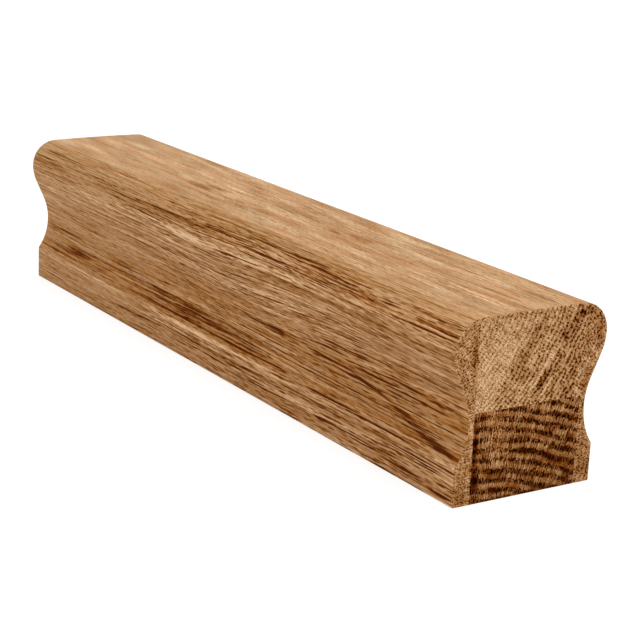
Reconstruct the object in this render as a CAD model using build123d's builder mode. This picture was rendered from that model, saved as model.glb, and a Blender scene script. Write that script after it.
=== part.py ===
from build123d import *
from math import atan2, cos, sin, sqrt
import os

# Wooden handrail: a straight length with a coved grip on both sides, moulded from
# a blank of four glued staves. Millimetres, +X along the rail, +Z up. The origin is
# the middle of the underside.

# Overall sizes
length = 300
width = 59
height = 59.5

# Grip, measured down from the top and in from the sides
grip_depth = 33.8
waist_inset = 6.9
shoulder_radius = 10.2
crown = 0.2
flank_length = 8.4
cove_share = 0.57

# Foot
foot_inset = 2.6
edge_easing = 0.5

# Glue lines of the blank
core_cover = 2.0
core_joint_height = 29.3

# Heights and half widths of the section
half_width = width / 2
half_foot = half_width - foot_inset
half_waist = half_width - waist_inset
half_core = half_waist - core_cover
waist_height = height - grip_depth
shoulder_height = height - crown - shoulder_radius

# The cove and the arc under the shoulder curve opposite ways, with a short straight
# flank between them that both touch. Their radii add up to arc_radii, of which the
# cove has cove_share.
rise = shoulder_height - waist_height
arc_radii = (waist_inset**2 + rise**2 - flank_length**2) / (2 * waist_inset)
cove_radius = cove_share * arc_radii
under_radius = arc_radii - cove_radius
flank_lean = atan2(rise, arc_radii - waist_inset) - atan2(flank_length, arc_radii)
flank_foot = (
    half_waist + cove_radius * (1 - cos(flank_lean)),
    waist_height + cove_radius * sin(flank_lean),
)
flank_head = (
    half_width - under_radius * (1 - cos(flank_lean)),
    shoulder_height - under_radius * sin(flank_lean),
)

# The cove runs down until it meets the upright side of the foot.
foot_depth = waist_inset - foot_inset
foot_height = waist_height - sqrt(foot_depth * (2 * cove_radius - foot_depth))

# The crown is a wide arc over the top that meets each shoulder without a corner.
half_crown = half_width - shoulder_radius
crown_drop = shoulder_radius + crown
crown_radius = (half_crown**2 + crown_drop**2 - shoulder_radius**2) / (2 * crown)
crown_lean = atan2(half_crown, crown_radius - crown_drop)
crown_end = (crown_radius * sin(crown_lean), height - crown_radius * (1 - cos(crown_lean)))

# Outline of the moulded section, drawn up its right half and mirrored
with BuildSketch() as moulding:
    with BuildLine():
        base = Line((0, 0), (half_foot, 0))
        side = Line(base @ 1, (half_foot, foot_height))
        cove = ThreePointArc(side @ 1, (half_waist, waist_height), flank_foot)
        flank = Line(cove @ 1, flank_head)
        under = TangentArc(flank @ 1, (half_width, shoulder_height), tangent=flank % 1)
        shoulder = TangentArc(under @ 1, crown_end, tangent=under % 1)
        TangentArc(shoulder @ 1, (0, height), tangent=shoulder % 1)
        mirror(about=Plane.YZ)
    make_face()
    fillet(moulding.vertices().group_by(Axis.Y)[0], radius=edge_easing)
    side_tops = moulding.vertices().filter_by(lambda v: abs(v.Y - foot_height) < edge_easing)
    fillet(side_tops, radius=edge_easing)


def blank(left, right, bottom, top):
    """The squared end of one stave, before the moulding is cut."""
    with Locations(((left + right) / 2, (bottom + top) / 2)):
        Rectangle(right - left, top - bottom)


# Lower stave of the core. Its flat underside takes brackets or spindle infill.
with BuildPart() as lower_core:
    with BuildSketch(Plane.YZ):
        blank(-half_core, half_core, 0, core_joint_height)
        add(moulding.sketch, mode=Mode.INTERSECT)
    extrude(amount=length / 2, both=True)
lower_core.part.label = "lower_core"

# Upper stave of the core, glued on the lower one. It carries most of the crown.
with BuildPart() as upper_core:
    with BuildSketch(Plane.YZ):
        blank(-half_core, half_core, core_joint_height, height)
        add(moulding.sketch, mode=Mode.INTERSECT)
    extrude(amount=length / 2, both=True)
upper_core.part.label = "upper_core"

# Cheek glued to the left of both core staves. The cove is cut into it.
with BuildPart() as left_cheek:
    with BuildSketch(Plane.YZ):
        blank(-half_width, -half_core, 0, height)
        add(moulding.sketch, mode=Mode.INTERSECT)
    extrude(amount=length / 2, both=True)
left_cheek.part.label = "left_cheek"

# Cheek on the right, the left one's mirror image
with BuildPart() as right_cheek:
    mirror(left_cheek.part, about=Plane.XZ)
right_cheek.part.label = "right_cheek"

os.makedirs("parts", exist_ok=True)
export_step(lower_core.part, "parts/lower_core.step")
export_step(upper_core.part, "parts/upper_core.step")
export_step(left_cheek.part, "parts/left_cheek.step")
export_step(right_cheek.part, "parts/right_cheek.step")
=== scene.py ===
import math
from collections import namedtuple

import bpy
import numpy as np
from mathutils import Matrix, Vector


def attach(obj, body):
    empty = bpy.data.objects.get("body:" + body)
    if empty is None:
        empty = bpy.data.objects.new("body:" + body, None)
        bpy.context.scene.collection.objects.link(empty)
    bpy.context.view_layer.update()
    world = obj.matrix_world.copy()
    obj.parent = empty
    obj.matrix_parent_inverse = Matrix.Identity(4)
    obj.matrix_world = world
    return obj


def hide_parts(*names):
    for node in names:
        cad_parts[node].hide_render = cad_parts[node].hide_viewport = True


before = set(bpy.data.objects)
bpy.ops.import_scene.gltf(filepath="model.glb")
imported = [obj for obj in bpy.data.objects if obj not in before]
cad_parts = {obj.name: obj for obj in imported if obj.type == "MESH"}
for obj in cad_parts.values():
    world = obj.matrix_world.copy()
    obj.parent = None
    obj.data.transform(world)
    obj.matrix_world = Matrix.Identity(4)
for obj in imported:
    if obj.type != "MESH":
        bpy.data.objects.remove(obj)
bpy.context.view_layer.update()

MM = 0.001

# Camera, fitted to the photograph's outline. Millimetres, and degrees for the roll.
CAMERA_AT = (554.63, -344.94, 204.86)
CAMERA_AIM = (12.68, 13.06, 18.23)
CAMERA_ROLL = 2.53
CAMERA_LENS = 102.28
CAMERA_NEAREST = 50
CAMERA_FURTHEST = 20000

# Section of the rail in millimetres, as in the CAD
WIDTH = 59.0
HEIGHT = 59.5
LENGTH = 300.0
GRIP_DEPTH = 33.8
WAIST_INSET = 6.9
SHOULDER_RADIUS = 10.2
CROWN = 0.2
FLANK_LENGTH = 8.4
COVE_SHARE = 0.57
FOOT_INSET = 2.6
CORE_COVER = 2.0
CORE_JOINT_HEIGHT = 29.3

HALF_WIDTH = WIDTH / 2
HALF_FOOT = HALF_WIDTH - FOOT_INSET
HALF_WAIST = HALF_WIDTH - WAIST_INSET
HALF_CORE = HALF_WAIST - CORE_COVER
HALF_LENGTH = LENGTH / 2

# Outline in millimetres: spacing of its points, width over which its corners are eased, and
# how far the crown stays below the CAD's, whose top is made of flat facets
FINE = 0.02
EDGE_EASING = 0.8
TOP_DIP = 0.03

# Easing of the sawn ends in millimetres, round the outside and at the glue lines
END_EASE = 0.08
GLUE_EASE = 0.015

# Meshes: steps along the rail, up and across a cheek, up and across a core stave. The top
# of a cheek is the last CHEEK_TOP millimetres of its outline.
STATIONS = 150
CHEEK_UP = 440
CHEEK_ACROSS = 24
CORE_UP = 148
CORE_ACROSS = 206
CHEEK_TOP = 7.0
SHARP_ANGLE = 50


def srgb(red, green, blue):
    """A colour written as 0 to 255, as the linear values that shaders take."""
    def linear(v):
        v /= 255
        return v / 12.92 if v <= 0.04045 else ((v + 0.055) / 1.055) ** 2.4
    return (linear(red), linear(green), linear(blue), 1.0)


# Colours of the oak, from the darkest pore to the lightest wood. The grain gives a shade
# from 0 to 1 that is looked up here.
OAK = (
    (0.00, srgb(26, 4, 0)),
    (0.18, srgb(66, 21, 0)),
    (0.38, srgb(116, 60, 13)),
    (0.52, srgb(147, 96, 48)),
    (0.65, srgb(168, 121, 76)),
    (0.78, srgb(189, 144, 100)),
    (0.90, srgb(212, 169, 125)),
    (1.00, srgb(232, 192, 148)),
)

# What the oak's colour is multiplied by, in the ruddy streaks of the sides and in the paler,
# greyer ones of the crown
RUDDY = (1.04, 0.925, 0.61, 1)
PALE = (0.945, 1.05, 1.145, 1)


# Camera

def make_camera():
    data = bpy.data.cameras.new("camera")
    data.lens = CAMERA_LENS
    data.clip_start = CAMERA_NEAREST * MM
    data.clip_end = CAMERA_FURTHEST * MM
    camera = bpy.data.objects.new("camera", data)
    bpy.context.scene.collection.objects.link(camera)
    at, aim = Vector(CAMERA_AT) * MM, Vector(CAMERA_AIM) * MM
    turn = (aim - at).to_track_quat("-Z", "Y").to_matrix()
    turn @= Matrix.Rotation(math.radians(CAMERA_ROLL), 3, "Z")
    camera.matrix_world = Matrix.Translation(at) @ turn.to_4x4()
    bpy.context.scene.camera = camera


# Section outline

def arc(centre, radius, start, end):
    """Points along an arc. Angles in radians from +Y towards +Z."""
    a = np.linspace(start, end, max(2, int(abs(end - start) * radius / FINE)))
    return np.c_[centre[0] + radius * np.cos(a), centre[1] + radius * np.sin(a)]


def line(start, end, count=None):
    """Points along a straight line, FINE apart if no count of them is given."""
    t = np.linspace(0, 1, count or max(2, int(math.dist(start, end) / FINE)))[:, None]
    return np.array(start) * (1 - t) + np.array(end) * t


def right_half():
    """The moulded outline from the middle of the underside, up the right, to the crown."""
    waist_height = HEIGHT - GRIP_DEPTH
    shoulder_height = HEIGHT - CROWN - SHOULDER_RADIUS
    rise = shoulder_height - waist_height
    radii = (WAIST_INSET**2 + rise**2 - FLANK_LENGTH**2) / (2 * WAIST_INSET)
    cove, under = COVE_SHARE * radii, (1 - COVE_SHARE) * radii
    lean = math.atan2(rise, radii - WAIST_INSET) - math.atan2(FLANK_LENGTH, radii)
    foot_depth = WAIST_INSET - FOOT_INSET
    foot_height = waist_height - math.sqrt(foot_depth * (2 * cove - foot_depth))
    foot_angle = math.pi + math.asin((waist_height - foot_height) / cove)
    half_crown = HALF_WIDTH - SHOULDER_RADIUS
    drop = SHOULDER_RADIUS + CROWN
    crown = (half_crown**2 + drop**2 - SHOULDER_RADIUS**2) / (2 * CROWN)
    crown_lean = math.atan2(half_crown, crown - drop)
    cove_arc = arc((HALF_WAIST + cove, waist_height), cove, foot_angle, math.pi - lean)
    under_arc = arc((HALF_WIDTH - under, shoulder_height), under, -lean, 0)
    runs = [
        line((0, 0), (HALF_FOOT, 0)),
        line((HALF_FOOT, 0), (HALF_FOOT, foot_height)),
        cove_arc,
        line(cove_arc[-1], under_arc[0]),
        under_arc,
        arc((half_crown, shoulder_height), SHOULDER_RADIUS, 0, math.pi / 2 - crown_lean),
        arc((0, HEIGHT - crown), crown, math.pi / 2 - crown_lean, math.pi / 2),
    ]
    return np.concatenate([runs[0]] + [r[1:] for r in runs[1:]])


def evenly(points):
    """The same line with its points FINE apart."""
    steps = np.r_[0, np.cumsum(np.hypot(*np.diff(points, axis=0).T))]
    want = np.arange(0, steps[-1], FINE)
    return np.stack([np.interp(want, steps, points[:, k]) for k in (0, 1)], 1)


def eased(loop):
    """Rounds the corners by averaging over EDGE_EASING, and leaves the rest as it is."""
    wide = int(EDGE_EASING / FINE)
    padded = np.concatenate([loop[-wide:], loop, loop[:wide]])
    kernel = np.ones(wide) / wide
    return np.stack([np.convolve(padded[:, k], kernel, "same") for k in (0, 1)], 1)[wide:-wide]


class Outline:
    """The closed outline, measured by its girth: 0 at the left foot's corner, then up the
    left side, over the crown and down the right side. Below 0 it is on the underside."""

    def __init__(self):
        half = right_half()
        loop = evenly(np.concatenate([half[::-1], half[1:] * (-1, 1)])[:-1])[::-1]
        loop = eased(loop) * (1, 1 - TOP_DIP / HEIGHT)
        corner = np.argmin(np.hypot(loop[:, 0] + HALF_FOOT, loop[:, 1]))
        loop = np.roll(loop[::-1], corner + 1, 0)
        self.points = np.r_[loop, loop[:1]]
        self.girth = np.r_[0, np.cumsum(np.hypot(*np.diff(self.points, axis=0).T))]
        self.whole = self.girth[-1]

    def at(self, girth):
        g = np.mod(girth, self.whole)
        return np.stack([np.interp(g, self.girth, self.points[:, k]) for k in (0, 1)], -1)

    def crossing(self, y, top):
        """The girth where the upright line y crosses the crown or the underside."""
        side = (self.points[:, 1] > HEIGHT / 2) == top
        girth = self.girth[np.argmin(np.where(side, np.abs(self.points[:, 0] - y), np.inf))]
        return girth if top else girth - self.whole


OUTLINE = Outline()

# Girth at the middle of the crown, and how far down each side from there the middle of the
# darker strip above the foot is
CROWN_MIDDLE = float(OUTLINE.whole / 2 - HALF_FOOT)
LOW_BAND = CROWN_MIDDLE - 22


# Marks in the wood, and on the left side also painted shade and painted highlight. Each is (place,
# height or girth, half length, half width, lean in degrees, tone) in millimetres, where a tone
# below
# 0 is darker. On the long faces place is along the rail and the second is a girth. On the sawn
# ends place is across and the second is a height.

LEFT_SIDE = (
    # Broad bands and patches. The long dark bands at girths 55 to 63 are painted shade on the
    # shoulder's roundover, and the pale streak at girth 11.8 is a painted highlight on the foot's
    # top edge.
    (-138, 55, 26, 3, 0, -0.12), (-118, 42.5, 44, 2.8, 0, 0.12), (-115, 58.6, 60, 2.6, 0, -0.12),
    (-110, 52, 50, 2.4, 0, -0.03), (-100, 63, 60, 3.4, 0, -0.08), (-90, 18.5, 45, 3.2, 0, -0.05),
    (-80, 9.5, 60, 3, 0, 0.06), (-60, 14.9, 110, 0.6, 0, -0.26), (-60, 45, 90, 4.5, 0.5, 0.05),
    (-55, 11.8, 100, 1.4, 0, 0.15), (-50, 18.4, 120, 3.6, 0, -0.16), (-50, 31, 100, 3, 0, -0.03),
    (0, 0.8, 170, 0.7, 0, -0.08), (0, 6.4, 190, 2.6, 0, -0.08), (0, 13.6, 170, 0.9, 0, -0.06),
    (0, 25.5, 170, 4.5, 0, -0.04), (0, 57.5, 170, 4, 0.4, -0.08), (0, 63, 170, 3.4, 0, -0.125),
    (0, 70, 170, 5, 0, -0.03), (60, 57, 90, 3, 0, -0.05), (75, 22, 95, 6, -1, -0.04),
    (90, 3, 50, 2.5, 0, 0.05), (95, 28.5, 50, 3, -2, -0.1), (100, 26, 40, 4, 0, -0.08),
    (115, 8, 35, 4, 0, -0.06), (115, 20, 70, 30, 0, -0.07),
    # Under the shoulder
    (-135, 60, 25, 0.7, 0, -0.14), (-100, 55.6, 20, 1.6, 0, 0.08), (-45, 52.8, 34, 1.2, 0, -0.12),
    (-45, 55.8, 42, 1.1, 0.4, -0.16), (10, 52.2, 40, 1.4, 0, -0.05),
    (10, 57.3, 42, 0.8, 3, -0.18), (37, 57.8, 12, 0.4, 3, -0.34), (37, 60, 10, 0.4, 1, -0.34),
    (42, 49.8, 16, 0.4, 1, -0.24), (50, 55.7, 24, 0.35, 1.5, -0.44), (62, 49.6, 34, 0.8, 0, 0.05),
    (65, 60.3, 17, 0.6, 2.3, -0.34), (70, 55.2, 16, 0.35, 2, -0.36),
    (82, 59.2, 30, 0.4, 1.2, -0.3), (90, 51.2, 60, 1, 0, 0.1), (92, 52.5, 9, 0.35, 0, -0.36),
    (92, 56, 28, 0.4, 0, -0.46), (106, 51, 12, 0.5, 0, -0.26), (130, 54.5, 18, 0.35, 0.2, -0.44),
    (130, 59.2, 24, 0.9, 0, -0.14), (133, 59, 10, 0.4, 0, -0.3), (137, 52, 14, 1.2, 0, 0.14),
    (138, 56.8, 16, 0.7, 0, -0.36),
    # Flank and cove
    (-128, 24.5, 24, 1.2, 0, -0.28), (-126, 30.5, 36, 1.2, 0, -0.12),
    (-120, 32.5, 32, 0.9, 0, -0.2), (-70, 36.5, 50, 0.7, 0, -0.1), (-64, 46.6, 26, 1.4, 0, -0.1),
    (-22, 28.4, 20, 0.7, 0.5, -0.24), (-20, 40, 60, 0.5, 0.5, -0.12),
    (-18, 35.8, 26, 1.2, 0, -0.13), (0, 47.5, 60, 0.4, 0.6, -0.12), (27, 27, 20, 0.7, 1, -0.3),
    (38, 26.8, 12, 0.6, 0, -0.26), (40, 26, 14, 0.7, 0, -0.14), (45, 26.6, 18, 1, 0, -0.12),
    (45, 46.5, 60, 1.6, 0, 0.07), (76, 25.7, 13, 0.5, -1, -0.42), (78, 32.1, 15, 0.45, 0, -0.32),
    (93, 24.5, 9, 0.6, -8, -0.5), (93, 32.1, 5, 0.7, 5, -0.4), (100, 35.5, 50, 1.4, -1.5, 0.04),
    (115, 42.5, 16, 0.9, 0, -0.1), (120, 30.4, 22, 1, 0, -0.12), (134, 29.4, 18, 0.8, 0, -0.3),
    # Strip above the foot
    (-130, 23.4, 34, 1.2, 0, -0.22), (-117, 18.6, 16, 1.9, 0, -0.32),
    (-80, 22.5, 14, 1.4, 0, -0.26), (-40, 20, 16, 1.3, 0, -0.26), (-16, 20, 14, 1.1, 0, -0.28),
    (0, 17, 40, 2.2, 0, -0.14), (4, 17.5, 18, 1, 2, -0.28), (26, 16.2, 24, 0.6, 1, -0.3),
    (35, 18.5, 26, 1.4, 0, -0.1), (106, 22.6, 9, 0.7, -7, -0.5), (117, 21, 7, 0.8, -7, -0.44),
    (127, 18.4, 7, 1.6, -12, -0.36), (137, 16.6, 9, 1.3, -8, -0.4),
    # Foot. The pale streaks at girth 11.4, just under its top edge, are painted highlight where
    # that edge catches the light.
    (-128, 15.4, 30, 1.4, 0, -0.18), (-122, 6.5, 24, 1.2, 0, -0.14), (-110, 3, 40, 1, 0, -0.08),
    (-40, 7, 32, 0.7, 0, -0.16), (-5, 8.2, 40, 0.6, 1, -0.26), (5, 11.4, 60, 1.2, 0, 0.08),
    (10, 7.4, 44, 1.3, 0, -0.12), (10, 14.6, 28, 0.5, 0, -0.26), (28, 5.8, 26, 0.6, 1, -0.28),
    (40, 15, 11, 0.45, 1, -0.36), (60, 11.4, 60, 0.9, 0, 0.05), (62, 12.8, 20, 1, 0, -0.1),
    (75, 9.4, 30, 0.35, 2, -0.24), (76, 5.5, 5, 0.6, 0, -0.3), (83, 13.8, 14, 0.35, 2, -0.5),
    (99, 13.4, 7, 0.35, 2, -0.36), (109, 5.4, 9, 0.7, 3, -0.5), (110, 10.6, 16, 0.4, 1, -0.36),
    (110, 13.4, 40, 1, 0, -0.1), (120, 9, 30, 1.2, 0, -0.12), (124, 4, 14, 0.7, -1, -0.36),
    (143.5, 1.9, 5, 0.8, 0, -0.6), (146, 15.4, 6, 1, -4, -0.44),
)
CROWN_TOP = (
    # Pale streaks
    (-100, 88, 26, 1.4, -3, 0.07), (-60, 92, 40, 3, 1, 0.07), (-30, 88.5, 22, 1.4, 0, 0.1),
    (-5, 84, 24, 1.2, 1, 0.08), (32, 98.5, 14, 2.2, 0, 0.08), (60, 103, 26, 2, 0, 0.05),
    (70, 75.5, 40, 1, -1, 0.08), (85, 97.5, 16, 1.8, 0, 0.05), (95, 79, 30, 1, 2, 0.05),
    (105, 95, 30, 2.6, 1, 0.05), (122, 87, 24, 1.8, 0, 0.08), (132, 76, 14, 1.8, 0, 0.08),
    # Long darker streaks
    (-115, 80, 30, 3.6, -3, -0.07), (-60, 99, 30, 4, 1, -0.06), (-40, 78, 32, 2.2, 0, -0.1),
    (-20, 74, 60, 1, 1, -0.08), (118, 76.5, 24, 1, -2, -0.1), (120, 83, 26, 0.8, 3, -0.1),
    (125, 88, 22, 0.9, 3, -0.12),
    # Blotches
    (-122, 83, 18, 2.6, -2, -0.1), (-88, 102, 14, 1.8, -2, -0.11), (-85, 106, 16, 2.6, -2, -0.17),
    (-45, 79.5, 14, 2.2, 2, -0.17), (-38, 83, 9, 1.8, -2, -0.17), (-18, 79, 9, 1.4, 0, -0.14),
    (-18, 103, 12, 1.2, 0, -0.11), (0, 91, 16, 4, 0, -0.05), (5, 78.5, 8, 2, 0, -0.14),
    (8, 94, 12, 1.4, 0, -0.09), (10, 75.3, 14, 1.2, 0, -0.08), (15, 103, 9, 1, 0, -0.14),
    (20, 90, 9, 2.2, 0, -0.1), (33, 106, 8, 1.3, 0, -0.1), (36, 84.5, 12, 2.6, 0, -0.12),
    (54, 88, 9, 3.4, -2, -0.14), (66, 80, 10, 1.4, 2, -0.12), (80, 86, 8, 1.4, 0, -0.08),
    (84, 84, 10, 1.6, 0, -0.12), (122, 94, 12, 1.2, 0, -0.08), (135, 98, 12, 1.6, 0, -0.1),
    (140, 105, 10, 1.6, 0, -0.08),
)
UPPER_END = (
    (-3.5, 44.5, 14, 2.6, 53.5, -0.14), (-2.6, 39, 3.8, 2.4, 50, -0.14),
    (5.4, 41, 12.5, 0.6, 56.6, 0.16), (6.7, 34.3, 5.6, 0.6, 56, 0.18),
    (4.9, 36.2, 4.4, 1.5, 52, -0.34), (15, 52.5, 7, 2.1, 45, -0.2),
    (19.3, 56, 1.6, 1.8, 0, -0.32), (-7.5, 32, 3.4, 0.25, -38.7, -0.4),
    (14, 44, 22, 9, 57, -0.08), (-15, 41, 20, 8, 60, 0.055), (12.2, 50, 1.8, 1.2, -30, -0.25),
    (17, 38, 6, 1.3, 57, -0.16), (15.5, 31.5, 4.5, 1.6, 40, -0.18), (9.5, 35, 3, 1.2, 56, -0.14),
    (0, 58.3, 20, 0.7, 0, -0.1), (2.5, 54.5, 4.5, 1.3, 57, -0.18), (-11, 33.5, 3, 1.2, 50, -0.08),
    (9, 45, 11, 0.5, 57, 0.12), (13, 42, 12, 0.6, 57, 0.12), (-8, 46, 13, 0.5, 56, 0.08),
)
LOWER_END = (
    (-19.8, 17.6, 5.6, 1.4, 90, -0.5), (-19.3, 7.2, 3.6, 2, 90, -0.5),
    (9.5, 10.7, 8, 2.4, -24, -0.2), (18.3, 16.3, 2.8, 1.2, -20, -0.24),
    (17.5, 12.3, 3.2, 1.2, -15, -0.24), (-11.2, 3.3, 3, 1.2, -30, -0.28),
    (0.5, 14, 5, 1.5, -18, -0.18), (18, 5, 3.5, 5.5, 0, -0.12), (5, 2, 17, 1.6, -4, -0.1),
    (-12, 20, 7, 9, 0, 0.06), (0, 6.8, 4.5, 1.2, -14, -0.14), (2.2, 24.2, 2.6, 1, -12, -0.18),
    (-20, 26, 1, 2.4, 0, -0.25), (8, 27, 12, 1.4, -12, 0.05), (-6, 12, 8, 1.1, -8, 0.05),
    (-13, 9.5, 6, 1.5, -10, -0.1), (14, 24, 6, 1, -12, -0.12), (-8, 1.5, 9, 1.2, 0, 0.05),
    (0, 0.4, 24, 0.7, 0, -0.14),
)
LEFT_END = (
    (-21.9, 47, 6, 1.2, 90, -0.16), (-23, 9, 6, 2, 90, 0.02), (-24, 3, 3, 3, 0, -0.1),
    (-21.4, 22, 9, 0.8, 90, 0.05), (-26, 52, 5, 2, 60, 0.03), (-24, 8, 8, 5, 90, -0.04),
)
RIGHT_END = (
    (26.5, 51, 7, 1.5, 90, -0.14), (24, 5, 3.2, 3.2, 0, -0.1), (21.6, 57, 1.8, 1.6, 0, -0.22),
    (23, 22, 8, 1, 90, -0.05), (27, 42, 4, 2, 70, 0.04), (22.4, 34, 4, 1.2, 80, -0.1),
    (24, 8, 9, 5, 90, -0.05),
)

# How far out a mark fades away, in half lengths and half widths
MARK_REACH = 1.25

# Marks on the faces that the photograph doesn't show: seed, count, and the girths between
# which they lie
RIGHT_SIDE = (5, 46, 105, 175)
UNDERSIDE = (8, 24, -48, -5)

# Least and most of what they measure, and the spread of their lean in degrees
LOOSE_HALF_LENGTH = (12, 60)
LOOSE_HALF_WIDTH = (0.7, 2.6)
LOOSE_TONE = (-0.15, 0.06)
LOOSE_LEAN = 1.2

# How the grain swings off the rail's length on the left side and the crown. Each is (girth,
# half width, x where it starts, x where it ends, rise) in millimetres.
GRAIN_FLOW = (
    (58, 15, -110, 75, 3.0), (39, 20, 0, 90, 4.5), (48, 12, 80, 160, -2.0),
    (12, 12, 30, 150, 2.0), (86, 20, 60, 170, 2.5),
)


def swung(x, girth):
    """The girth at which the grain that passes a point started, at the far end."""
    level = girth.copy()
    for centre, half_width, start, end, rise in GRAIN_FLOW:
        t = np.clip((x - start) / (end - start), 0, 1)
        near = np.clip(1 - ((girth - centre) / half_width) ** 2, 0, 1)
        level -= rise * t * t * (3 - 2 * t) * near * near
    return level


def scattered(seed, count, low, high):
    """Marks that run along the grain, with girths from low to high."""
    rng = np.random.default_rng(seed)
    marks = []
    for _ in range(count):
        half_length = rng.uniform(*LOOSE_HALF_LENGTH)
        x, girth = rng.uniform(-HALF_LENGTH, HALF_LENGTH), rng.uniform(low, high)
        half_width = rng.uniform(*LOOSE_HALF_WIDTH)
        lean, tone = rng.normal(0, LOOSE_LEAN), rng.uniform(*LOOSE_TONE)
        marks.append((x, girth, half_length, half_width, lean, tone))
    return marks


def toned(places, marks):
    """The tone that marks give at each place: full in the middle and fading to the edge."""
    tone = np.zeros(len(places))
    for x, y, half_length, half_width, lean, strength in marks:
        c, s = math.cos(math.radians(lean)), math.sin(math.radians(lean))
        dx, dy = places[:, 0] - x, places[:, 1] - y
        away = np.hypot((dx * c + dy * s) / half_length, (dy * c - dx * s) / half_width)
        fade = np.clip(MARK_REACH - away, 0, 1)
        tone += strength * fade * fade * (3 - 2 * fade)
    return tone


# Meshes of the staves. A section has four sides: bottom, top, the inner one towards the
# middle and the outer one. On a core stave inner is the left one and outer the right one.

NEIGHBOURS = {
    "bottom": ("inner", "outer"),
    "top": ("inner", "outer"),
    "inner": ("bottom", "top"),
    "outer": ("bottom", "top"),
}


def patch(bottom, top, inner, outer):
    """Fills four boundary lines with a grid of points (Coons). Rows go from bottom to top."""
    u = np.linspace(0, 1, len(inner))[:, None, None]
    v = np.linspace(0, 1, len(bottom))[None, :, None]
    sides = (1 - v) * inner[:, None] + v * outer[:, None]
    ends = (1 - u) * bottom[None] + u * top[None]
    corners = ((1 - u) * ((1 - v) * bottom[0] + v * bottom[-1])
               + u * ((1 - v) * top[0] + v * top[-1]))
    return sides + ends - corners


class Sheets:
    """Gathers grids of points into one welded mesh."""

    def __init__(self):
        self.points, self.values, self.faces, self.maps, self.slots = [], [], [], [], []
        self.count = 0

    def add(self, points, place, out, tone, end, flip):
        """place is where each point lies on its face, out the way that is inward times how far
        it may go, tone what marks give it, and end is 1 on sawn ends and 0 elsewhere."""
        rows, columns = points.shape[:2]
        k = np.arange(rows * columns).reshape(rows, columns)
        quads = np.stack([k[:-1, :-1], k[1:, :-1], k[1:, 1:], k[:-1, 1:]], -1).reshape(-1, 4)
        if flip:
            quads = quads[:, ::-1]
        self.maps.append(place.reshape(-1, 2)[quads])
        self.faces.append(quads + self.count)
        self.points.append(points.reshape(-1, 3))
        flat = [place.reshape(-1, 2), out.reshape(-1, 3), tone.reshape(-1, 1)]
        self.values.append(np.hstack(flat + [np.full((rows * columns, 1), end)]))
        self.slots.append(np.full(len(quads), end))
        self.count += rows * columns

    def mesh(self, name):
        points, values = np.concatenate(self.points), np.concatenate(self.values)
        faces, maps = np.concatenate(self.faces), np.concatenate(self.maps)
        rounded = np.round(points, 5)
        _, first, same = np.unique(rounded, axis=0, return_index=True, return_inverse=True)
        points, values, faces = points[first], values[first], same.reshape(-1)[faces]
        data = bpy.data.meshes.new(name)
        data.vertices.add(len(points))
        data.vertices.foreach_set("co", (points * MM).astype(np.float32).ravel())
        data.loops.add(faces.size)
        data.loops.foreach_set("vertex_index", faces.astype(np.int32).ravel())
        data.polygons.add(len(faces))
        data.polygons.foreach_set("loop_start", np.arange(0, faces.size, 4, dtype=np.int32))
        slots = np.concatenate(self.slots).astype(np.int32)
        data.polygons.foreach_set("material_index", slots)
        data.update(calc_edges=True)
        layer = data.uv_layers.new(name="place", do_init=False)
        layer.uv.foreach_set("vector", (maps * MM).astype(np.float32).ravel())
        spot = np.c_[values[:, :2], np.zeros(len(values))]
        for key, found in (("spot", spot), ("out", values[:, 2:5])):
            made = data.attributes.new(key, "FLOAT_VECTOR", "POINT")
            made.data.foreach_set("vector", found.astype(np.float32).ravel())
        for key, found in (("tone", values[:, 5]), ("sawn", values[:, 6])):
            made = data.attributes.new(key, "FLOAT", "POINT")
            made.data.foreach_set("value", found.astype(np.float32))
        data.shade_smooth()
        data.set_sharp_from_angle(angle=math.radians(SHARP_ANGLE))
        return data


def reaches(sides):
    """How far from the rail's middle the points of each side go, so that the edges of the
    ends are eased. In a corner the wider easing counts."""
    ease = {key: GLUE_EASE if girths is None else END_EASE
            for key, (_, girths) in sides.items()}
    reach = {}
    for key, (points, _) in sides.items():
        reach[key] = np.full(len(points), HALF_LENGTH - ease[key])
        for k, other in zip((0, -1), NEIGHBOURS[key]):
            reach[key][k] = HALF_LENGTH - max(ease[key], ease[other])
    return reach


def inward(points, turned):
    """The way into the wood at each point of a side."""
    tangent = np.gradient(points, axis=0)
    normal = np.c_[tangent[:, 1], -tangent[:, 0]] / np.hypot(*tangent.T)[:, None]
    return -normal if turned else normal


def add_glued_face(sheets, points, reach, turned):
    """A face that is glued to the next stave: plain, in one step from end to end."""
    x = reach[:, None] * np.array([-1, 1])
    flat = np.zeros(x.shape)
    section = np.repeat(points[:, None], 2, 1)
    place = np.dstack([x, flat])
    sheets.add(np.dstack([x, section]), place, np.zeros(section.shape[:2] + (3,)), flat, 0, turned)


def add_long_face(sheets, points, girths, reach, turned, marks):
    """A face along the grain, whose points are free to be pressed in. Those on its two long
    edges stay where they are, and those at the ends go half as far."""
    t = np.linspace(-1, 1, STATIONS + 1)
    x = reach[:, None] * t
    free = np.ones(x.shape)
    free[[0, -1]] = 0
    free[:, [0, -1]] = 0.5
    section, into = (np.repeat(v[:, None], len(t), 1) for v in (points, inward(points, turned)))
    out = free[..., None] * np.dstack([np.zeros(x.shape), into])
    girth = np.repeat(girths[:, None], len(t), 1)
    tone = toned(np.dstack([x, girth]).reshape(-1, 2), marks)
    place = np.dstack([x, swung(x, girth)])
    sheets.add(np.dstack([x, section]), place, out, tone, 0, turned)


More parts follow.
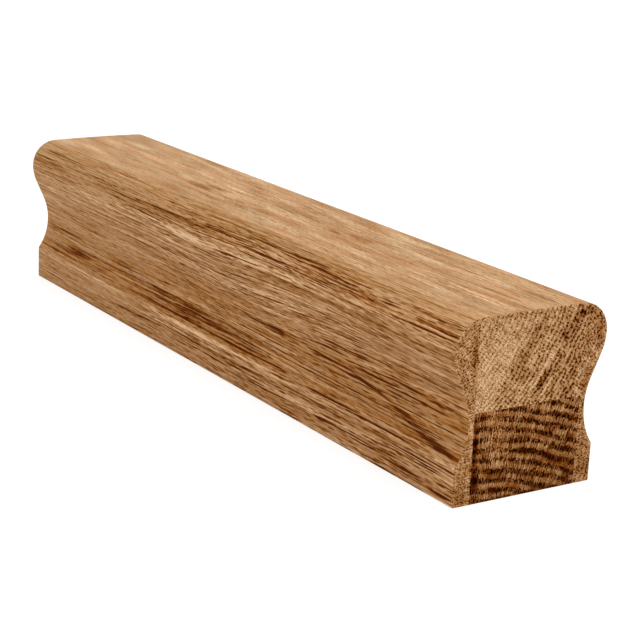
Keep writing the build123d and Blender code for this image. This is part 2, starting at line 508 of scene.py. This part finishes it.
def add_ends(sheets, sides, reach, mirrored, marks):
    """The two sawn ends. Their edges are where the four sides end."""
    grid = patch(*(points for points, _ in sides.values()))
    x = np.full(grid.shape[:2], HALF_LENGTH)
    x[0], x[-1], x[:, 0], x[:, -1] = (reach[key] for key in ("bottom", "top", "inner", "outer"))
    free = np.ones(grid.shape[:2])
    free[[0, -1]] = free[:, [0, -1]] = 0
    tone = toned(grid.reshape(-1, 2), marks)
    for way in (1, -1):
        out = free[..., None] * np.array([-way, 0, 0])
        sheets.add(np.dstack([way * x, grid]), grid, out, tone, 1, (way > 0) != mirrored)


def stave_mesh(name, sides, long_marks, end_marks):
    """One stave from the four sides of its section, in the order of patch. Each side is
    (points, girths), and one that is glued has no girths."""
    bottom, inner = sides["bottom"][0], sides["inner"][0]
    side, up = bottom[-1] - bottom[0], inner[-1] - inner[0]
    mirrored = side[0] * up[1] - side[1] * up[0] < 0
    reach = reaches(sides)
    sheets = Sheets()
    for key, (points, girths) in sides.items():
        turned = (key in ("bottom", "outer")) != mirrored
        if girths is None:
            add_glued_face(sheets, points, reach[key], turned)
        else:
            add_long_face(sheets, points, girths, reach[key], turned, long_marks)
    add_ends(sheets, sides, reach, mirrored, end_marks)
    return sheets.mesh(name)


def along(start, end, steps):
    """A side that follows the outline from one girth to another."""
    girths = np.linspace(start, end, steps + 1)
    return OUTLINE.at(girths), girths


def glue_line(start, end, steps):
    return line(start, end, steps + 1), None


def cheek(name, way, corner, long_marks, end_marks):
    """The left cheek, where way is -1, or the right one. corner is the girth of its foot's
    corner, counted along the underside, so the right one's is below 0."""
    y = way * HALF_CORE
    foot, crown = OUTLINE.crossing(y, False), OUTLINE.crossing(y, True)
    turn = crown + way * CHEEK_TOP
    sides = {
        "bottom": along(foot, corner, CHEEK_ACROSS),
        "top": along(crown, turn, CHEEK_ACROSS),
        "inner": glue_line((y, 0), OUTLINE.at(crown), CHEEK_UP),
        "outer": along(corner % OUTLINE.whole, turn, CHEEK_UP),
    }
    return stave_mesh(name, sides, long_marks, end_marks)


def core_joint():
    ends = ((way * HALF_CORE, CORE_JOINT_HEIGHT) for way in (-1, 1))
    return glue_line(*ends, CORE_ACROSS)


def upper_core():
    left, right = (OUTLINE.crossing(y, True) for y in (-HALF_CORE, HALF_CORE))
    sides = {
        "bottom": core_joint(),
        "top": along(left, right, CORE_ACROSS),
        "inner": glue_line((-HALF_CORE, CORE_JOINT_HEIGHT), OUTLINE.at(left), CORE_UP),
        "outer": glue_line((HALF_CORE, CORE_JOINT_HEIGHT), OUTLINE.at(right), CORE_UP),
    }
    return stave_mesh("upper_core_wood", sides, CROWN_TOP, UPPER_END)


def lower_core():
    left, right = (OUTLINE.crossing(y, False) for y in (-HALF_CORE, HALF_CORE))
    sides = {
        "bottom": along(left, right, CORE_ACROSS),
        "top": core_joint(),
        "inner": glue_line((-HALF_CORE, 0), (-HALF_CORE, CORE_JOINT_HEIGHT), CORE_UP),
        "outer": glue_line((HALF_CORE, 0), (HALF_CORE, CORE_JOINT_HEIGHT), CORE_UP),
    }
    return stave_mesh("lower_core_wood", sides, scattered(*UNDERSIDE), LOWER_END)


def make_meshes():
    """The four staves. The order gives each its seed."""
    right_side = scattered(*RIGHT_SIDE)
    return {
        "left_cheek": cheek("left_cheek_wood", -1, 0, LEFT_SIDE, LEFT_END),
        "right_cheek": cheek("right_cheek_wood", 1, -2 * HALF_FOOT, right_side, RIGHT_END),
        "upper_core": upper_core(),
        "lower_core": lower_core(),
    }


# Fields: the arithmetic of a node tree, written as sums

class Field:
    """A number in a node tree."""

    def __init__(self, graph, socket):
        self.graph, self.socket = graph, socket

    def __add__(self, other):
        return self.graph.math("ADD", self, other)

    def __sub__(self, other):
        return self.graph.math("SUBTRACT", self, other)

    def __mul__(self, other):
        return self.graph.math("MULTIPLY", self, other)

    def __truediv__(self, other):
        return self.graph.math("DIVIDE", self, other)

    def __rsub__(self, other):
        return self.graph.math("SUBTRACT", other, self)

    __radd__ = __add__


# How far the noise leans, how much of a spot's radius is full, and how far the chance of a
# cell is from the share where its spot starts to fade
NOISE_LEAN = 0.4
SPOT_CORE = 0.55
SHARE_EDGE = 0.04


class Graph:
    """Adds nodes to a tree, in a material or in geometry nodes, so that a colour and a
    groove can follow the same field."""

    def __init__(self, tree):
        self.nodes, self.links = tree.nodes, tree.links

    def node(self, kind, inputs=(), **settings):
        made = self.nodes.new(kind)
        for key, value in settings.items():
            setattr(made, key, value)
        for key, value in dict(inputs).items():
            self.feed(made.inputs[key], value)
        return made

    def feed(self, socket, value):
        if isinstance(value, Field):
            self.links.new(value.socket, socket)
        else:
            socket.default_value = value

    def math(self, operation, a, b=None):
        inputs = {0: a} if b is None else {0: a, 1: b}
        return Field(self, self.node("ShaderNodeMath", inputs, operation=operation).outputs[0])

    def point(self, x, y):
        return Field(self, self.node("ShaderNodeCombineXYZ", {0: x, 1: y}).outputs[0])

    def parts(self, vector):
        made = self.node("ShaderNodeSeparateXYZ", {0: vector})
        return [Field(self, made.outputs[k]) for k in (0, 1, 2)]

    def noise(self, x, y):
        """Smooth noise, mostly within 1 of 0. It leans, so that no column of it is calm."""
        inputs = {"Vector": self.point(x + y * NOISE_LEAN, y), "Scale": 1.0, "Detail": 0.0}
        made = self.node("ShaderNodeTexNoise", inputs, noise_dimensions="2D")
        return (Field(self, made.outputs[0]) - 0.5) * 4

    def fade(self, value, low, high):
        """0 at low and 1 at high, with a smooth step between them."""
        inputs = {0: value, 1: low, 2: high}
        made = self.node("ShaderNodeMapRange", inputs, interpolation_type="SMOOTHSTEP")
        return Field(self, made.outputs[0])

    def pores(self, x, y, share, jitter=1.0, size=0.33):
        """1 inside scattered spots. Of the square cells of size 1, share is how many have a
        spot, jitter how far it may lie from the middle, and size its radius."""
        inputs = {"Vector": self.point(x, y), "Scale": 1.0, "Randomness": jitter}
        made = self.node("ShaderNodeTexVoronoi", inputs, voronoi_dimensions="2D")
        away = Field(self, made.outputs["Distance"])
        chance = self.parts(Field(self, made.outputs["Color"]))[0]
        there = self.fade(chance, share + SHARE_EDGE, share - SHARE_EDGE)
        return self.fade(away, size, size * SPOT_CORE) * there


def between(share, low, high):
    """low where share is 0 and high where it is 1."""
    return share * (high - low) + low


# Grain along the rail. A layer is the length and height of one streak in millimetres, and
# how strong it is: as a shade, or for SWAY and KINK as millimetres that the grain shifts.

Layer = namedtuple("Layer", "length height strength")
SWAY = Layer(110, 22, 0.7)
KINK = Layer(14, 1.4, 0.12)
BANDS = Layer(200, 4, 0.06)
STREAKS = Layer(110, 1.6, 0.06)
THREADS = Layer(60, 0.75, 0.03)
FIBRES = Layer(9, 0.6, 0.035)
FUZZ = Layer(2.6, 0.42, 0.035)

# Veins have two strengths, in late and in early wood. VEIN_EDGE is where in the noise they
# start and where they are full. How strong the patches are is in STAVES.
VEINS = Layer(55, 0.7, (0.03, 0.11))
VEIN_EDGE = (0.2, 0.55)
PATCH_SIZE = (24, 5)

# Open pores: length and height of their cells in millimetres, then share, jitter and size as
# Graph.pores takes them, and how dark the pores are in late and in early wood. The lines also
# have a share for each.
Pores = namedtuple("Pores", "length height share jitter size dark")
LINES = Pores(80, 1.25, (0.1, 0.9), 0.95, 0.22, (0.16, 0.30))
DASHES = Pores(34, 1.05, 0.9, 0.9, 0.25, (0.12, 0.26))
TICKS = Pores(9, 0.8, 0.8, 0.9, 0.30, (0.14, 0.19))

# How far each millimetre up the section sets the pores off along the grain, in cells
PORE_SLANT = 0.37

# Calmer grain: on the crown, at the far end and in the low band. Each has the contrast that is
# left, and an edge in millimetres: of girth from the crown's middle, of x, and of girth from
# the band's middle.
CROWN_CALM, CROWN_EDGE = 0.55, (26, 32)
FAR_CALM, FAR_EDGE = 0.52, (-150, 40)
LOW_CALM, LOW_EDGE = 0.82, (12, 6)


def from_crown(g, girth):
    """Millimetres of girth from the middle of the crown, on either side."""
    return g.math("ABSOLUTE", girth - CROWN_MIDDLE)


def low_band(g, girth):
    """1 in the strip above the foot, on both sides, where the wood is darker and redder."""
    return g.fade(g.math("ABSOLUTE", from_crown(g, girth) - LOW_BAND), *LOW_EDGE)


def contrast_at(g, x, girth, look):
    side = between(g.fade(from_crown(g, girth), *CROWN_EDGE), CROWN_CALM, 1)
    near = between(g.fade(x, *FAR_EDGE), FAR_CALM, 1)
    return side * near * look["contrast"] * (1 - low_band(g, girth) * (1 - LOW_CALM))


def long_grain(g, x, girth, tone, look, seed):
    """Shade, depth of the open pores and fine relief of a face cut along the grain."""
    level = girth + g.noise(x / SWAY.length + seed, girth / SWAY.height) * SWAY.strength
    run = x / look["stretch"]
    bands = g.noise(run / BANDS.length + seed, level / BANDS.height)
    streaks = g.noise(run / STREAKS.length, level / STREAKS.height + seed)
    threads = g.noise(run / THREADS.length + seed, level / THREADS.height)
    fibres = g.noise(run / FIBRES.length, level / FIBRES.height + seed)
    fuzz = g.noise(run / FUZZ.length - seed, level / FUZZ.height)
    patches = g.noise(x / PATCH_SIZE[0], level / PATCH_SIZE[1]) * look["patches"]
    # Early wood follows the bands, the streaks and the dark marks
    early = g.fade(bands * 0.5 + streaks * 0.6 - tone * 5, -0.8, 0.9)

    kink = level + g.noise(x / KINK.length + seed, level / KINK.height) * KINK.strength
    slant = level * PORE_SLANT
    veins = g.fade(g.noise(run / VEINS.length - seed, kink / VEINS.height), *VEIN_EDGE)
    lines = g.pores(run / LINES.length + slant + seed, kink / LINES.height,
                    between(early, *LINES.share), LINES.jitter, LINES.size)
    dashes = g.pores(run / DASHES.length + slant, kink / DASHES.height + seed,
                     DASHES.share, DASHES.jitter, DASHES.size)
    ticks = g.pores(run / TICKS.length + slant + seed, kink / TICKS.height - seed,
                    TICKS.share, TICKS.jitter, TICKS.size)

    # Marks are streaky too, and the darkest ones less so
    steady = g.fade(tone, -0.2, -0.4) * 0.55
    uneven = (streaks * 0.3 + threads * 0.7 + fibres * 0.4) * (1 - steady)
    grain = bands * BANDS.strength + streaks * STREAKS.strength + threads * THREADS.strength
    grain = grain + fibres * FIBRES.strength + fuzz * FUZZ.strength
    grain = grain - veins * between(early, *VEINS.strength)
    pores = lines * between(early, *LINES.dark) + dashes * between(early, *DASHES.dark)
    pores = pores + ticks * between(early, *TICKS.dark)
    shade = tone * (uneven + 0.7) + (grain - pores) * contrast_at(g, x, girth, look) + patches
    depth = lines + dashes * 0.5 + veins * 0.3
    relief = fibres * 0.3 + fuzz * 0.2 + threads * 0.3 - ticks * 0.4
    return shade, depth, relief


# Grain of the sawn ends: sizes in millimetres, round the pith and outwards where there are two
WANDER_SIZE = 11
CLOUD_SIZE = 3.4
STRAY_SIZE = 1.3
BEND_SIZE = 1.1
SPECK_SIZE = 0.42
RAGGED_SIZE = (0.5, 1.6)
RAY_SIZE = (0.36, 6)
FLECK_SIZE = (0.5, 0.75)

# Where the early wood of a ring starts, in rings, and where it ends, counted from its share
RING_START = (0.0, 0.10)
RING_END = (0.14, -0.06)

# How far pores stray from their row, in rows, where the rows hold and where they are loose, how
# much smaller loose pores are, and share and size of the small pores
ROW_STRAY = (0.05, 0.25)
LOOSE_SHRINK = 0.09
FLECK_SHARE = (0.45, 0.75)
FLECK_RADIUS = 0.42

# Pale marks calm the pores and the rings: how much for a tone of 1, and what is always left
CALMING = 6
CALMEST = 0.4


def end_grain(g, y, z, tone, look, seed):
    """The same for a sawn end, where the rings run round the stave's pith."""
    across, above = y - look["pith"][0], z - look["pith"][1]
    wander = g.noise(y / WANDER_SIZE + seed, z / WANDER_SIZE) * look["wander"]
    radius = g.math("SQRT", across * across + above * above) + wander + look["shift"]
    turn = g.math("ARCTAN2", above, across) * look["reach"]
    ring = radius / look["ring"]
    ragged = g.noise(turn / RAGGED_SIZE[0] + seed, radius / RAGGED_SIZE[1]) * look["ragged"]
    phase = g.math("FRACT", ring + ragged)
    ends = (look["early"] + away for away in RING_END)
    early = g.fade(phase, *RING_START) * g.fade(phase, *ends)
    rays = g.noise(turn / RAY_SIZE[0], radius / RAY_SIZE[1] + seed)
    specks = g.noise(y / SPECK_SIZE + seed, z / SPECK_SIZE)
    clouds = g.noise(y / CLOUD_SIZE, z / CLOUD_SIZE + seed) * look["cloud"]
    calm = g.math("MAXIMUM", 1 - g.math("MAXIMUM", tone, 0.0) * CALMING, CALMEST)

    wide, deep = look["pore"]
    bent = turn + g.noise(y / BEND_SIZE, z / BEND_SIZE + seed) * look["bend"]
    row, size = radius / deep, look["size"]
    if look["loose"]:
        loose = g.fade(radius, *look["loose"])
        stray = g.noise(y / STRAY_SIZE - seed, z / STRAY_SIZE)
        row = ring + stray * between(loose, *ROW_STRAY)
        size = size - loose * LOOSE_SHRINK
    share = look["share"] + early * look["gather"]
    big = g.pores(bent / wide + seed, row, share, look["jitter"], size) * calm
    small = g.pores(turn / FLECK_SIZE[0] + seed, radius / FLECK_SIZE[1],
                    between(early, *FLECK_SHARE), size=FLECK_RADIUS)

    marked = tone * (rays * 0.5 + specks * 0.5 + 0.95)
    shade = marked + clouds + rays * look["rays"] + specks * look["speck"]
    shade = shade - early * calm * look["band"]
    shade = shade - big * (look["dark"] - tone * 0.4) - small * look["fleck"]
    return shade, big * 0.9 + small * 0.3 + early * 0.3, rays * 0.4 + specks * 0.3


# The staves, in millimetres unless it says otherwise.
# slot: the record's material slot. base, end: shade of the wood along the grain and on a
# sawn end. gloss: specular level along the grain. tint: what the colour of a sawn end is
# multiplied by, in patches.
# stretch: how long the streaks are, 1 as in the layers. contrast, patches: how strong the
# grain and its patches are.
# pith: y and z of the rings' middle. reach: radius at which widths round it are true. ring:
# width of a growth ring. shift: how far all rings move out. wander: how far they stray.
# ragged: the same for their edges, in rings. early: share of a ring that is early wood.
# pore: width and depth of a pore's cell. loose: the radii between which the pores come loose
# from their rows, one to a ring, or None where there are no rows. jitter, share, size: as
# Graph.pores takes them. gather: what early wood adds to the share. bend: how far the rows
# of cells are bent.
# rays, speck, cloud, band, dark, fleck: strength of the rays, the specks, the clouds, the
# early wood, the pores and the small pores.
STAVES = {
    "upper_core": {
        "slot": "oak_light", "base": 0.772, "end": 0.86, "gloss": 0.2,
        "tint": (0.98, 1.0, 0.97, 1), "stretch": 0.48, "contrast": 1.35, "patches": 0.06,
        "pith": (-101, 110), "reach": 120, "ring": 1.65, "shift": 0, "wander": 0.5,
        "ragged": 0.04, "early": 0.45, "pore": (1.0, 1.65), "loose": (127, 114),
        "jitter": 0.56, "share": 0.85, "gather": 0.0, "size": 0.44, "bend": 0.25,
        "rays": 0.08, "speck": 0.12, "cloud": 0.05, "band": 0.10, "dark": 0.35, "fleck": 0.18,
    },
    "lower_core": {
        "slot": "oak_dark", "base": 0.46, "end": 0.575, "gloss": 0.05,
        "tint": (1.02, 0.95, 0.82, 1), "stretch": 1.0, "contrast": 1.0, "patches": 0.02,
        "pith": (-25, -90), "reach": 110, "ring": 3.25, "shift": 1.12, "wander": 0.4,
        "ragged": 0.09, "early": 0.52, "pore": (0.62, 2.0), "loose": None,
        "jitter": 0.9, "share": 0.12, "gather": 0.88, "size": 0.46, "bend": 0.12,
        "rays": 0.16, "speck": 0.09, "cloud": 0.08, "band": 0.13, "dark": 0.66, "fleck": 0.24,
    },
    "left_cheek": {
        "slot": "oak_cheek", "base": 0.798, "end": 0.78, "gloss": 0.05,
        "tint": (1.01, 0.96, 0.86, 1), "stretch": 1.0, "contrast": 1.65, "patches": 0.0,
        "pith": (-90, 10), "reach": 75, "ring": 1.9, "shift": 0, "wander": 0.4,
        "ragged": 0.1, "early": 0.45, "pore": (0.8, 1.1), "loose": None,
        "jitter": 0.8, "share": 0.6, "gather": 0.15, "size": 0.45, "bend": 0.12,
        "rays": 0.10, "speck": 0.10, "cloud": 0.05, "band": 0.04, "dark": 0.31, "fleck": 0.24,
    },
    "right_cheek": {
        "slot": "oak_cheek", "base": 0.798, "end": 0.75, "gloss": 0.05,
        "tint": (1.01, 0.96, 0.86, 1), "stretch": 1.0, "contrast": 1.65, "patches": 0.0,
        "pith": (70, 0), "reach": 55, "ring": 2.2, "shift": 0, "wander": 0.8,
        "ragged": 0.1, "early": 0.45, "pore": (0.85, 1.2), "loose": None,
        "jitter": 0.8, "share": 0.55, "gather": 0.25, "size": 0.45, "bend": 0.12,
        "rays": 0.10, "speck": 0.11, "cloud": 0.06, "band": 0.05, "dark": 0.36, "fleck": 0.24,
    },
}


# Materials. ROUGHNESS is for dark wood. It rises in the pores and falls as the wood gets paler.
# DARKEST_ALONG is the least shade of the long faces, and BUMP_DISTANCE is in millimetres.

ROUGHNESS = 0.86
PORE_ROUGHNESS = 0.1
PALE_SMOOTHNESS = 0.25
END_GLOSS = 0.02
DARKEST_ALONG = 0.22
BUMP_STRENGTH = 0.35
BUMP_DISTANCE = 0.06
PORE_BUMP = 1.2

# Tints: length and height of their streaks in millimetres, and where they fade on the long
# faces, in girth from the crown's middle. The pale ones get stronger towards the shoulders.
END_TINT_SIZE = 5
RUDDY_SIZE = (16, 3.2)
PALE_SIZE = (14, 2.2)
BROAD_PALE_SIZE = (40, 7)
RUDDY_EDGE = (28, 42)
PALE_EDGE = (34, 27)
SHOULDER_EDGE = (20, 26)


def tinted(g, colour, amount, tint):
    mix = g.node("ShaderNodeMix", data_type="RGBA", blend_type="MULTIPLY")
    g.feed(mix.inputs[0], amount)
    g.feed(mix.inputs[6], colour)
    mix.inputs[7].default_value = tint
    return Field(g, mix.outputs[2])


def oak_colour(g, shade):
    ramp = g.node("ShaderNodeValToRGB", {0: shade})
    stops = ramp.color_ramp.elements
    while len(stops) < len(OAK):
        stops.new(0.5)
    for stop, (at, colour) in zip(stops, OAK):
        stop.position, stop.color = at, colour
    return Field(g, ramp.outputs[0])


def end_tint(g, colour, y, z, tint):
    patches = g.noise(y / END_TINT_SIZE, z / END_TINT_SIZE)
    return tinted(g, colour, g.fade(patches, -0.6, 1.2), tint)


def long_tint(g, colour, x, girth, shade, seed):
    """Ruddy streaks in the darker wood, most of all above the foot, and paler ones on the
    crown."""
    away = from_crown(g, girth)
    ruddy = g.fade(g.noise(x / RUDDY_SIZE[0] + seed, girth / RUDDY_SIZE[1]), -1.0, 0.8)
    ruddy = ruddy * between(low_band(g, girth), 0.8, 2.0) * g.fade(shade, 0.85, 0.40)
    ruddy = ruddy * between(g.fade(away, *RUDDY_EDGE), 0.55, 1)
    streaks, broad = (g.noise(x / length, girth / height + seed)
                      for length, height in (PALE_SIZE, BROAD_PALE_SIZE))
    pale = g.fade(streaks + broad, -1.4, 1.4) + g.fade(away, *SHOULDER_EDGE) * 0.4
    colour = tinted(g, colour, ruddy, RUDDY)
    return tinted(g, colour, pale * g.fade(away, *PALE_EDGE), PALE)


def make_wood(name, stave, seed, sawn):
    """Oak for the long faces or for the sawn ends of one stave."""
    material = bpy.data.materials.new(name)
    material.use_nodes = True
    g = Graph(material.node_tree)
    g.nodes.clear()
    place = g.node("ShaderNodeUVMap", uv_map="place")
    a, b, _ = g.parts(Field(g, place.outputs[0]))
    a, b = a / MM, b / MM
    tone = Field(g, g.node("ShaderNodeAttribute", attribute_name="tone").outputs["Fac"])
    if sawn:
        shade, depth, relief = end_grain(g, a, b, tone, stave, seed)
        shade = g.math("MAXIMUM", shade + stave["end"], 0.0)
        colour = end_tint(g, oak_colour(g, shade), a, b, stave["tint"])
    else:
        shade, depth, relief = long_grain(g, a, b, tone, stave, seed)
        shade = g.math("MAXIMUM", shade + stave["base"], DARKEST_ALONG)
        colour = long_tint(g, oak_colour(g, shade), a, b, shade, seed)
    bump = g.node("ShaderNodeBump", {
        "Strength": BUMP_STRENGTH, "Distance": BUMP_DISTANCE * MM,
        "Height": relief - depth * PORE_BUMP})
    shader = g.node("ShaderNodeBsdfPrincipled", {
        "Base Color": colour,
        "Roughness": ROUGHNESS + depth * PORE_ROUGHNESS - shade * PALE_SMOOTHNESS,
        "Specular IOR Level": END_GLOSS if sawn else stave["gloss"],
        "Normal": Field(g, bump.outputs[0])})
    out = g.node("ShaderNodeOutputMaterial")
    g.links.new(shader.outputs[0], out.inputs[0])
    return material


# Carving: how deep the pores go along the grain, and pores and rings on the sawn ends, in
# millimetres

GROOVE = 0.07
PIT = 0.09


def carve(piece, stave, seed):
    """Presses the pores into the mesh, along the way that each point may go, and applies it."""
    tree = bpy.data.node_groups.new(piece.name + "_pores", "GeometryNodeTree")
    for way in ("INPUT", "OUTPUT"):
        tree.interface.new_socket("Geometry", in_out=way, socket_type="NodeSocketGeometry")
    g = Graph(tree)

    def named(name, kind):
        made = g.node("GeometryNodeInputNamedAttribute", {"Name": name}, data_type=kind)
        return Field(g, made.outputs[0])

    a, b, _ = g.parts(named("spot", "FLOAT_VECTOR"))
    tone, sawn = named("tone", "FLOAT"), named("sawn", "FLOAT")
    long_depth = long_grain(g, a, b, tone, stave, seed)[1]
    end_depth = end_grain(g, a, b, tone, stave, seed)[1]
    depth = long_depth * (1 - sawn) * GROOVE + end_depth * sawn * PIT
    inputs = {0: named("out", "FLOAT_VECTOR"), "Scale": depth * MM}
    move = g.node("ShaderNodeVectorMath", inputs, operation="SCALE")
    start, end = g.node("NodeGroupInput"), g.node("NodeGroupOutput")
    shift = g.node("GeometryNodeSetPosition", {"Offset": Field(g, move.outputs[0])})
    g.links.new(start.outputs[0], shift.inputs["Geometry"])
    g.links.new(shift.outputs[0], end.inputs[0])
    modifier = piece.modifiers.new("pores", "NODES")
    modifier.node_group = tree
    bpy.context.view_layer.update()
    carved = piece.evaluated_get(bpy.context.evaluated_depsgraph_get())
    shaped = bpy.data.meshes.new_from_object(carved)
    piece.modifiers.clear()
    piece.data = shaped


# Studio: light and glow as strengths, distances in metres. The floor has its own colour for
# the light that it throws on the object, and a darker one for the camera, on top of its glow.

WHITE = (1.0, 1.0, 1.0, 1.0)
FLOOR_COLOUR = (0.8, 0.8, 0.8, 1.0)
SHADE_COLOUR = (0.35, 0.35, 0.35, 1.0)
SKY_LIGHT = 0.55
SKY_SEEN = 1.0
NEAR_GLOW = 0.74
FAR_GLOW = 0.84
GLOW_REACH = (0.5, 2.5)
FLOOR_HALF = 4.0

# Name, place, size and power in watts
LAMPS = (
    ("lamp_top", (0.2, 0.1, 1.5), 1.2, 14),
    ("lamp_front", (1.2, -1.2, 0.9), 1.0, 8),
)


def straight_rays(g):
    """1 for camera, glossy and transmission rays, which see the white backdrop."""
    path = g.node("ShaderNodeLightPath")
    camera, glossy, transmission = (
        Field(g, path.outputs[f"Is {kind} Ray"]) for kind in ("Camera", "Glossy", "Transmission"))
    return g.math("MAXIMUM", g.math("MAXIMUM", camera, glossy), transmission)


def make_world():
    """Even light from all round, and pure white where the camera sees past the floor."""
    world = bpy.data.worlds.new("studio")
    bpy.context.scene.world = world
    world.use_nodes = True
    g = Graph(world.node_tree)
    g.nodes.clear()
    light = g.node("ShaderNodeBackground", {"Color": WHITE, "Strength": SKY_LIGHT})
    seen = g.node("ShaderNodeBackground", {"Color": WHITE, "Strength": SKY_SEEN})
    mix = g.node("ShaderNodeMixShader", {0: straight_rays(g)})
    out = g.node("ShaderNodeOutputWorld")
    g.links.new(light.outputs[0], mix.inputs[1])
    g.links.new(seen.outputs[0], mix.inputs[2])
    g.links.new(mix.outputs[0], out.inputs[0])


def make_floor():
    """A pale floor that lights the object as any would. The camera sees it white, with the
    object's shadow on it, and further out it glows a little more, so that it has no edge."""
    data = bpy.data.meshes.new("floor")
    corners = [(x * FLOOR_HALF, y * FLOOR_HALF, 0) for x, y in ((-1, -1), (1, -1), (1, 1), (-1, 1))]
    data.from_pydata(corners, [], [(0, 1, 2, 3)])
    floor = bpy.data.objects.new("floor", data)
    bpy.context.scene.collection.objects.link(floor)
    material = bpy.data.materials.new("floor_white")
    material.use_nodes = True
    g = Graph(material.node_tree)
    g.nodes.clear()
    place = Field(g, g.node("ShaderNodeNewGeometry").outputs["Position"])
    length = g.node("ShaderNodeVectorMath", {0: place}, operation="LENGTH")
    away = Field(g, length.outputs["Value"])
    glow = between(g.fade(away, *GLOW_REACH), NEAR_GLOW, FAR_GLOW)
    plain = g.node("ShaderNodeBsdfDiffuse", {"Color": FLOOR_COLOUR})
    shade = g.node("ShaderNodeBsdfDiffuse", {"Color": SHADE_COLOUR})
    lit = g.node("ShaderNodeEmission", {"Color": WHITE, "Strength": glow})
    both = g.node("ShaderNodeAddShader")
    mix = g.node("ShaderNodeMixShader", {0: straight_rays(g)})
    out = g.node("ShaderNodeOutputMaterial")
    g.links.new(shade.outputs[0], both.inputs[0])
    g.links.new(lit.outputs[0], both.inputs[1])
    g.links.new(plain.outputs[0], mix.inputs[1])
    g.links.new(both.outputs[0], mix.inputs[2])
    g.links.new(mix.outputs[0], out.inputs[0])
    data.materials.append(material)


def make_lamp(name, at, size, power):
    data = bpy.data.lights.new(name, "AREA")
    data.shape = "DISK"
    data.size = size
    data.energy = power
    lamp = bpy.data.objects.new(name, data)
    bpy.context.scene.collection.objects.link(lamp)
    lamp.location = at
    lamp.rotation_euler = (-Vector(at)).to_track_quat("-Z", "Y").to_euler()


# Pieces

FIRST_SEED = 3.0
SEED_STEP = 10.0


def make_pieces():
    """Each stave's mesh, carved and given its two materials, in place of its CAD node."""
    for number, (node, data) in enumerate(make_meshes().items()):
        stave, seed = STAVES[node], SEED_STEP * number + FIRST_SEED
        piece = bpy.data.objects.new(data.name, data)
        bpy.context.scene.collection.objects.link(piece)
        carve(piece, stave, seed)
        piece.data.materials.append(make_wood(node + "_long", stave, seed, False))
        piece.data.materials.append(make_wood(node + "_end", stave, seed, True))
        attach(piece, "root")
        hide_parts(node)
        print(node, len(piece.data.polygons) * 2, "triangles")


bpy.context.scene.view_settings.view_transform = "Standard"
make_camera()
make_world()
make_floor()
for lamp in LAMPS:
    make_lamp(*lamp)
make_pieces()

bpy.context.view_layer.update()
